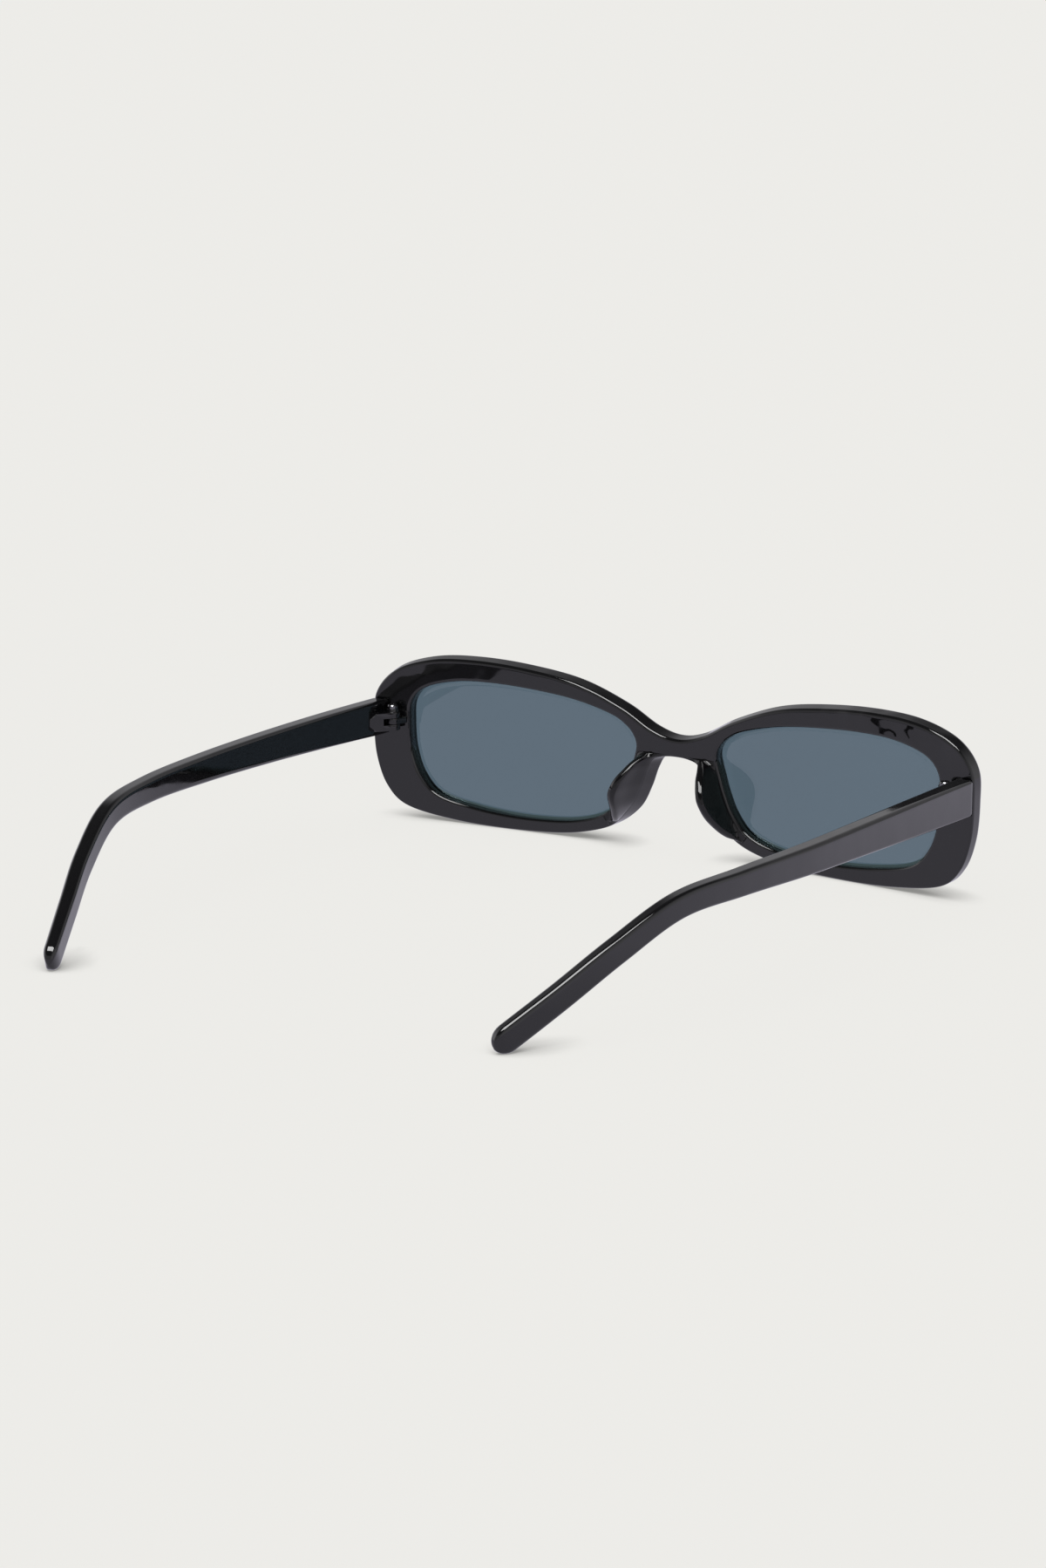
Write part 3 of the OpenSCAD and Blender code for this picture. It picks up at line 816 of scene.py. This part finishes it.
@dataclass(frozen=True)
class NosePad:
    """Fin behind the rim that rests on the side of the nose.

    Its crest stands at a share of its foot, counted from the nose edge: crest_from at the
    lower end, then more by crest_rise, over rise_span from rise_first on, and less by
    crest_fall, over one unit of u from fall_first on.
    """

    shape: FrontShape
    side: Side
    pad_h: float = 7.9
    heights_per_u: float = 2.0
    first_height: float = 0.5
    least_h: float = 0.02
    nose_knot: tuple[float, float] = (0.6, 0.5)
    lens_knot: tuple[float, float] = (0.35, 0.35)
    crest_r: float = 0.9
    crest_most: float = 0.45
    crest_from: float = 0.3
    crest_rise: float = 0.42
    rise_first: float = 17.25
    rise_span: float = 1.5
    crest_fall: float = 0.12
    fall_first: float = 19.25
    sink: float = 0.3
    rings: int = 64
    steps: int = 5

    def _height(self, u: np.ndarray) -> np.ndarray:
        """Works out the height of the fin: a smooth curve through heights in percent.

        The fin starts between the first two heights, at first_height along the curve.

        Args:
            u: places along the rim.

        Returns:
            The height at each u.
        """
        share = np.array([0, 8, 43, 72, 93, 100, 92, 74, 54, 33, 12, 0])
        profile = Curve.of_values(share * self.pad_h / 100)
        along = (u - self.shape.pad_first) * self.heights_per_u + self.first_height
        return np.maximum(profile.at(along)[:, 0], self.least_h)

    def _sections(self, u: np.ndarray, w: np.ndarray) -> np.ndarray:
        """Works out the sections: a smooth curve over a round crest.

        It has one knot on each flank between the foot and the crest, in shares of the
        flank's width and height.

        Args:
            u: places along the rim.
            w: width of the foot at each place.

        Returns:
            Distance across the foot and height of each point, by section.
        """
        h = self._height(u)
        k = np.minimum(self.crest_r, self.crest_most * h)
        c = w * (self.crest_from
                 + self.crest_rise * ease((u - self.rise_first) / self.rise_span)
                 - self.crest_fall * ease(u - self.fall_first))
        t = k * np.sin(np.pi / 4)
        nose, lens = self.nose_knot, self.lens_knot
        knots = [(0 * w, 0 * w), (nose[0] * (c - k), nose[1] * (h - k)),
                 (c - k, h - k), (c - t, h - k + t), (c, h), (c + t, h - k + t), (c + k, h - k),
                 (c + k + lens[0] * (w - c - k), lens[1] * (h - k)), (w, 0 * w)]
        flat = np.stack([np.stack(knot, axis=1) for knot in knots]).reshape(len(knots), -1)
        line = Curve(flat, flat[0], flat[-1])
        v = np.linspace(0, line.last, line.last * self.steps + 1)
        return line.at(v).reshape(len(v), len(u), 2).transpose(1, 0, 2)

    def build(self, coat: Coat) -> bpy.types.Object:
        """Builds the fin on a foot from the rim's nose edge to the lens opening's edge.

        Args:
            coat: finish of the piece.

        Returns:
            The piece.
        """
        s = self.shape
        u = np.linspace(s.pad_first, s.pad_last, self.rings)
        a, na, b, nb = s.edges(u)
        r, g = s.rear_edge(u)
        p = s.behind_rear(b + nb * (g + r)[:, None], 0.0)
        q = s.behind_rear(a + na * s.opening_r, 0.0)
        w = np.linalg.norm(q - p, axis=1)
        section = self._sections(u, w)
        along = (q - p) / w[:, None]
        fin = p[:, None] + along[:, None] * section[..., :1]
        fin[..., 1] += section[..., 1]
        base = np.stack([q, p], axis=1)
        base[..., 1] -= self.sink
        rows = np.concatenate([fin, base], axis=1)
        ends = rows[[0, -1]].mean(axis=1)
        points = np.vstack([rows.reshape(-1, 3), ends]) * [self.side.value, 1, 1]
        piece = make_piece(f"pad_{self.side.word}", points, capped_faces(*rows.shape[:2]),
                           "front")
        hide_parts(f"nose_pad_{self.side.word}")
        coat.dress(piece)
        return piece


# The temples and their hinges


@dataclass(frozen=True)
class Temple:
    """One temple: a rounded bar that tapers, drops over the ear and curves in."""

    shape: FrontShape
    side: Side
    reach: float = 133.4
    thick: float = 3.6
    tail_thick: float = 2.7
    thin_first: float = 3.0
    butt_h: float = 7.4
    bend_h: float = 4.6
    tail_h: float = 5.1
    butt_z: float = 21.4
    drop: float = 18.7
    inset: float = 18.6
    step: float = 0.2
    gap: float = 0.15
    tip_len: float = 3.19
    tip_turns: tuple[float, ...] = (12, 24, 36, 48, 58, 68, 77, 85)
    butt_edge_r: float = 0.7
    tail_edge_r: float = 0.9
    end_r: float = 0.3
    end_shrink: float = 0.5
    flat_points: tuple[float, float] = (0.08, 0.92)
    steps: int = 16
    arc: int = 6

    def _line(self) -> Curve:
        """Draws the middle line of the temple, in percent of its inset, reach and drop.

        Returns:
            The curve from the butt end to where the tip starts.
        """
        share = np.array([[0, 0, 0], [2, 15.5, 2.3], [2.3, 31.1, 3.6], [-0.5, 46.7, 3.8],
                          [-10.2, 61.9, 3.1], [-27.7, 74.2, -3.7], [-51.1, 84.2, -34.9],
                          [-76, 92.4, -69.1], [-100, 100, -100]]) / 100
        x = self.shape.half_w - self.step - self.thick / 2
        start = np.array([x, self.shape.rear_y(np.array(x)) + self.gap, self.butt_z])
        line = start + share * [self.inset, self.reach, self.drop]
        return Curve(line, 2 * line[0] - line[1], 2 * line[-1] - line[-2])

    def _height(self, u: np.ndarray) -> np.ndarray:
        """Works out the height of the bar.

        Up to the bend it falls by shares in percent, and then it grows evenly, in thirds,
        to the tail.

        Args:
            u: places along the line.

        Returns:
            The height at each u.
        """
        taper = np.array([100, 81, 57, 33, 10, 0]) / 100
        growth = np.arange(1, 4) / 3
        first = self.bend_h + taper * (self.butt_h - self.bend_h)
        rest = self.bend_h + growth * (self.tail_h - self.bend_h)
        return Curve.of_values(np.concatenate([first, rest])).at(u)[:, 0]

    def _sections(self, u: np.ndarray, shrink: np.ndarray, ahead: np.ndarray) -> np.ndarray:
        """Works out rounded rectangles square to the line.

        Each has four quarter-rounds, with a point beside each end of the four flats.

        Args:
            u: places along the line.
            shrink: share of the full size of each section.
            ahead: distance of each section beyond its place.

        Returns:
            Points by section and place round it.
        """
        line = self._line()
        way = line.way(u)
        out = unit(np.cross(way, [0.0, 0.0, 1.0]))
        up = np.cross(out, way)
        r = (self.butt_edge_r + (self.tail_edge_r - self.butt_edge_r) * u / line.last) * shrink
        thinner = np.maximum(0, (u - self.thin_first) / (line.last - self.thin_first))
        thick = self.thick + (self.tail_thick - self.thick) * thinner
        a = thick / 2 * shrink - r
        b = self._height(u) / 2 * shrink - r
        turn = np.linspace(0, RIGHT_ANGLE, self.arc)
        angle = np.concatenate([turn + q * RIGHT_ANGLE for q in range(4)])
        sx = np.repeat([1, -1, -1, 1], self.arc)
        sy = np.repeat([1, 1, -1, -1], self.arc)
        loop_x = self._with_flats(a[:, None] * sx + r[:, None] * np.cos(angle))
        loop_y = self._with_flats(b[:, None] * sy + r[:, None] * np.sin(angle))
        middle = line.at(u) + way * ahead[:, None]
        return (middle[:, None] + out[:, None] * loop_x[..., None]
                + up[:, None] * loop_y[..., None])

    def _with_flats(self, value: np.ndarray) -> np.ndarray:
        """Adds two points on each flat, near its ends, between the quarter-rounds.

        Args:
            value: one coordinate of the quarter-rounds, by section.

        Returns:
            The same coordinate, with the added points in their places.
        """
        following = np.roll(value, -1, axis=1)
        parts = []
        for end in range(self.arc - 1, value.shape[1], self.arc):
            here, there = value[:, end:end + 1], following[:, end:end + 1]
            parts += [value[:, end - self.arc + 1:end + 1],
                      *(here + (there - here) * share for share in self.flat_points)]
        return np.concatenate(parts, axis=1)

    def build(self, coat: Coat) -> bpy.types.Object:
        """Builds the bar with a butt end that follows the front, and a rounded tip.

        Args:
            coat: finish of the piece.

        Returns:
            The piece.
        """
        line = self._line()
        u = np.linspace(0, line.last, line.last * self.steps + 1)
        body = self._sections(u, np.ones_like(u), np.zeros_like(u))
        turn = np.linspace(0, RIGHT_ANGLE, self.arc + 1)[:-1]
        set_back = self.end_r * (1 - np.cos(turn))
        butt = self._sections(np.zeros_like(turn),
                              1 - self.end_r * self.end_shrink * (1 - np.sin(turn)), set_back)
        butt[..., 1] = self.shape.rear_y(butt[..., 0]) + self.gap + set_back[:, None]
        angle = np.radians(self.tip_turns)
        tip = self._sections(np.full_like(angle, line.last), np.cos(angle),
                             self.tip_len * np.sin(angle))
        rows = np.concatenate([butt, body[1:], tip])
        end = np.array([float(line.last)])
        point = line.at(end) + line.way(end) * self.tip_len
        points = np.vstack([rows.reshape(-1, 3), rows[0].mean(axis=0)[None], point])
        points = points * [self.side.value, 1, 1]
        piece = make_piece(f"arm_{self.side.word}", points, capped_faces(*rows.shape[:2]),
                           f"temple_{self.side.word}")
        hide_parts(f"temple_{self.side.word}")
        coat.dress(piece)
        return piece


@dataclass(frozen=True)
class Hinge:
    """One screwed barrel hinge, with its corners rounded as a mould leaves them."""

    side: Side
    leaf_round: float = 0.12
    screw_round: float = 0.05
    round_steps: int = 3
    flat_angle: float = 0.01
    corner_angle: float = 32.0

    def _softened(self, node: str, body: str, width: float) -> bpy.types.Object:
        """Copies a CAD node, merges its points and rounds its corners.

        Args:
            node: name of the CAD node.
            body: CAD body that the piece rides on.
            width: width of the rounding.

        Returns:
            The piece.
        """
        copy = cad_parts[node].data.copy()
        shape = bmesh.new()
        shape.from_mesh(copy)
        bmesh.ops.remove_doubles(shape, verts=shape.verts, dist=Weld.CAD.value)
        bmesh.ops.dissolve_limit(shape, angle_limit=self.flat_angle, verts=shape.verts,
                                 edges=shape.edges)
        shape.to_mesh(copy)
        shape.free()
        copy.name = f"{node}_form"
        piece = bpy.data.objects.new(f"{node}_form", copy)
        bpy.context.scene.collection.objects.link(piece)
        bevel = piece.modifiers.new("corners", "BEVEL")
        bevel.width = width * MM
        bevel.segments = self.round_steps
        bevel.limit_method = "ANGLE"
        bevel.angle_limit = np.radians(self.corner_angle)
        bevel.harden_normals = True
        copy.polygons.foreach_set("use_smooth", np.ones(len(copy.polygons), dtype=bool))
        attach(piece, body)
        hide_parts(node)
        return piece

    def build(self, plastic: Coat, steel: Coat) -> None:
        """Builds both leaves and the screw.

        Args:
            plastic: finish of the leaves.
            steel: finish of the screw.
        """
        word = self.side.word
        for node, body in ((f"front_hinge_{word}", "front"),
                           (f"temple_hinge_{word}", f"temple_{word}")):
            plastic.dress(self._softened(node, body, self.leaf_round))
        steel.dress(self._softened(f"hinge_screw_{word}", f"temple_{word}",
                                   self.screw_round))


# Studio and camera


@dataclass(frozen=True)
class Wall:
    """One side of the room, as polished pieces see it.

    Directions are given by the length of their part along an axis. The wall comes in
    between the two values of turn, along its own axis, raised to a power. Its brightness
    goes from the first to the second level between the two values of rise, along Z.
    """

    axis: Axis
    turn: tuple[float, float]
    rise: tuple[float, float]
    levels: tuple[float, float]
    power: float = 1.0

    def add(self, g: Graph, parts: Any, brightest: Any) -> Any:
        """Adds the wall to the room.

        Args:
            g: node tree of the world.
            parts: sockets of the direction's X, Y and Z.
            brightest: socket of the room's brightness without this wall.

        Returns:
            The socket of the brightness with the wall.
        """
        toward = g.ramp(parts[self.axis.value], self.turn, (0.0, 1.0))
        level = g.ramp(parts["Z"], self.rise, self.levels)
        wall = g.math("MULTIPLY", g.math("POWER", toward, self.power), level)
        return g.math("MAXIMUM", brightest, wall)


@dataclass(frozen=True)
class Studio:
    """Pale floor, soft even light, and a room that is bright or dark where it is reflected."""

    floor_colour: tuple[float, float, float] = (0.845, 0.838, 0.808)
    mirrored_colour: tuple[float, float, float] = (1.02, 0.985, 1.14)
    mirrored_band: tuple[float, float] = (-0.12, -0.075)
    mirrored_levels: tuple[float, float] = (0.98, 0.74)
    floor_half: float = 6.0
    even_share: float = 0.95
    # The contact values shape the painted shadow on the floor: its reach, its band of
    # occlusion, its darkness, its lean and its rays.
    contact: float = 0.008
    contact_band: tuple[float, float] = (0.35, 0.9)
    contact_shadow_dark: float = 0.32
    contact_shadow_lean: float = 0.5
    contact_rays: int = 16
    room: float = 0.78
    room_colour: tuple[float, float, float] = (1.0, 0.992, 1.03)
    wall_dark: float = 0.10
    right_wall: Wall = Wall(Axis.X, (-0.25, -0.70), (0.30, 0.90), (0.95, 0.5))
    left_wall: Wall = Wall(Axis.X, (0.20, 0.85), (0.35, 0.60), (1.5, 0.6), 3.0)
    back_wall: Wall = Wall(Axis.Y, (0.10, 0.30), (0.45, 0.55), (0.59, 0.12))
    front_wall: Wall = Wall(Axis.Y, (-0.45, -0.65), (0.52, 0.80), (0.5, 0.06))
    key_toward: tuple[float, float, float] = (0.05, 0.1, 1.0)
    key_energy: float = 0.75
    key_angle: float = 50.0
    box_toward: tuple[float, float, float] = (-0.05, 0.27, 0.96)
    box_distance: float = 1.5
    box_size: tuple[float, float] = (0.95, 0.70)
    box_power: float = 25.0

    def _seen_paint(self, g: Graph, path: Any) -> Any:
        """Paints the floor as the camera sees it: evened out, with a painted shadow where
        pieces come near it.

        Args:
            g: node tree of the floor's paint.
            path: node that tells how the floor is seen.

        Returns:
            The socket of the shader.
        """
        paint = g.add("ShaderNodeBsdfDiffuse", {"Color": (*self.floor_colour, 1.0)})
        even = g.add("ShaderNodeEmission", {"Color": (*self.floor_colour, 1.0)})
        # Painted contact shadow: occlusion close to the pieces darkens the even glow, with its
        # hemisphere tilted towards +Y.
        near = g.add("ShaderNodeAmbientOcclusion", {"Distance": self.contact},
                     samples=self.contact_rays)
        lean = g.add("ShaderNodeCombineXYZ", {"Y": self.contact_shadow_lean, "Z": 1.0})
        g.join(lean.outputs["Vector"], near, "Normal")
        painted_contact_shadow = g.ramp(near.outputs["AO"], self.contact_band, (self.contact_shadow_dark, 1.0))
        g.join(painted_contact_shadow, even, "Strength")
        share = g.ramp(g.seen_straight(path), (0.0, 1.0), (0.0, self.even_share))
        return g.cover(share, paint.outputs["BSDF"], even.outputs["Emission"])

    def floor(self) -> None:
        """Lays the floor.

        Polished pieces see it at a level of its own, brighter towards the wearer's right.
        """
        h = self.floor_half
        mesh = bpy.data.meshes.new("floor")
        mesh.from_pydata([(-h, -h, 0), (h, -h, 0), (h, h, 0), (-h, h, 0)], [], [(0, 1, 2, 3)])
        plane = bpy.data.objects.new("floor", mesh)
        bpy.context.scene.collection.objects.link(plane)
        owner = bpy.data.materials.new("floor paint")
        g = Graph(owner)
        out = g.add("ShaderNodeOutputMaterial")
        path = g.add("ShaderNodeLightPath")
        mirrored = g.add("ShaderNodeEmission", {"Color": (*self.mirrored_colour, 1.0)})
        level = g.ramp(g.parts("Object")["X"], self.mirrored_band, self.mirrored_levels)
        g.join(level, mirrored, "Strength")
        both = g.cover(path.outputs["Is Glossy Ray"], self._seen_paint(g, path),
                       mirrored.outputs["Emission"])
        g.join(both, out, "Surface")
        mesh.materials.append(owner)

    def _walls(self, g: Graph) -> Any:
        """Works out the room's brightness in each direction, as polished pieces see it.

        The walls are named from the wearer: the right one lies towards -X, the left one
        towards +X, the back one towards +Y and the front one towards -Y. All else is dark.

        Args:
            g: node tree of the world.

        Returns:
            The socket of the brightness.
        """
        parts = g.parts("Generated")
        dark = g.add("ShaderNodeValue")
        brightest = dark.outputs[0]
        brightest.default_value = self.wall_dark
        for wall in (self.right_wall, self.left_wall, self.back_wall, self.front_wall):
            brightest = wall.add(g, parts, brightest)
        return brightest

    def world(self) -> None:
        """Lights the room evenly, and gives reflections the brightness of its walls.

        Where it is seen past the floor's far edge it has the floor's colour.
        """
        owner = bpy.data.worlds.new("room")
        bpy.context.scene.world = owner
        g = Graph(owner)
        out = g.add("ShaderNodeOutputWorld")
        back = g.add("ShaderNodeBackground")
        g.join(back.outputs["Background"], out, "Surface")
        path = g.add("ShaderNodeLightPath")
        straight = g.seen_straight(path)
        g.join(g.blend(straight, self.room_colour, self.floor_colour), back, "Color")
        both = g.add("ShaderNodeMix", data_type="FLOAT")
        g.join(path.outputs["Is Glossy Ray"], both, "Factor")
        g.join(g.ramp(straight, (0.0, 1.0), (self.room, 1.0)), both, "A")
        g.join(self._walls(g), both, "B")
        g.join(both.outputs["Result"], back, "Strength")

    def _hang(self, data: bpy.types.Light, toward: Vector) -> bpy.types.Object:
        """Hangs a lamp that faces the object.

        Args:
            data: light of the lamp, whose name it takes.
            toward: direction from the object to the lamp.

        Returns:
            The lamp.
        """
        lamp = bpy.data.objects.new(data.name, data)
        lamp.rotation_euler = (-toward).to_track_quat("-Z", "Y").to_euler()
        bpy.context.scene.collection.objects.link(lamp)
        return lamp

    def key(self) -> None:
        """Adds the broad even light from above, which reflections don't show."""
        data = bpy.data.lights.new("key", "SUN")
        data.energy = self.key_energy
        data.angle = np.radians(self.key_angle)
        self._hang(data, Vector(self.key_toward)).visible_glossy = False

    def softbox(self) -> None:
        """Adds the soft rectangular lamp, which shows in reflections alone."""
        data = bpy.data.lights.new("softbox", "AREA")
        data.shape = "RECTANGLE"
        data.size, data.size_y = self.box_size
        data.energy = self.box_power
        place = Vector(self.box_toward).normalized() * self.box_distance
        lamp = self._hang(data, place)
        lamp.location = place
        lamp.visible_diffuse = False

    def build(self) -> None:
        """Sets the floor, the room and the lamps."""
        self.floor()
        self.world()
        self.key()
        self.softbox()


@dataclass(frozen=True)
class PhotoCamera:
    """Camera at the photograph's viewing angle, solved from the object's outlines."""

    focal_px: float = 5317.0
    long_side_px: float = 1799.0
    sensor_mm: float = 36.0
    place: tuple[float, float, float] = (-473.553, 784.048, 228.018)
    right: tuple[float, float, float] = (-0.83808, -0.54554, -0.00027)
    up: tuple[float, float, float] = (0.12381, -0.19069, 0.97381)
    sees_from: float = 0.05
    sees_to: float = 50.0

    def build(self) -> None:
        """Makes the camera and gives it to the scene."""
        data = bpy.data.cameras.new("camera")
        data.sensor_width = self.sensor_mm
        data.lens = self.focal_px * self.sensor_mm / self.long_side_px
        data.clip_start = self.sees_from
        data.clip_end = self.sees_to
        camera = bpy.data.objects.new("camera", data)
        right, up = np.array(self.right), np.array(self.up)
        place = (np.array(self.place) - [0, MIDDLE_Y, 0]) * MM
        turn = np.eye(4)
        turn[:3] = np.stack([right, up, np.cross(right, up), place], axis=1)
        camera.matrix_world = Matrix(turn.tolist())
        bpy.context.scene.collection.objects.link(camera)
        bpy.context.scene.camera = camera


def main() -> None:
    """Builds the studio, the front and the temples, and reports each piece."""
    logging.basicConfig(level=logging.INFO, format="%(name)s: %(message)s")
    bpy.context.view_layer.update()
    bpy.context.scene.view_settings.view_transform = "Standard"
    PhotoCamera().build()
    Studio().build()
    shape = FrontShape()
    black = MouldedPlastic("frame plastic", "frame_plastic").coat()
    soft_black = MouldedPlastic("pad plastic", "pad_plastic", roughness=0.04, ior=1.4).coat()
    satin = MouldedPlastic("hinge plastic", "hinge_plastic", roughness=0.07).coat()
    tint, steel = TintedLens().coat(), ScrewSteel().coat()
    LOG.info("made %s", Rims(shape).build(black).name)
    for side in Side:
        LOG.info("made %s", Lens(shape, side).build(tint).name)
        LOG.info("made %s", NosePad(shape, side).build(soft_black).name)
        LOG.info("made %s", Temple(shape, side).build(black).name)
        Hinge(side).build(satin, steel)
        LOG.info("made hinge %s", side.word)


if __name__ == "__main__":
    main()
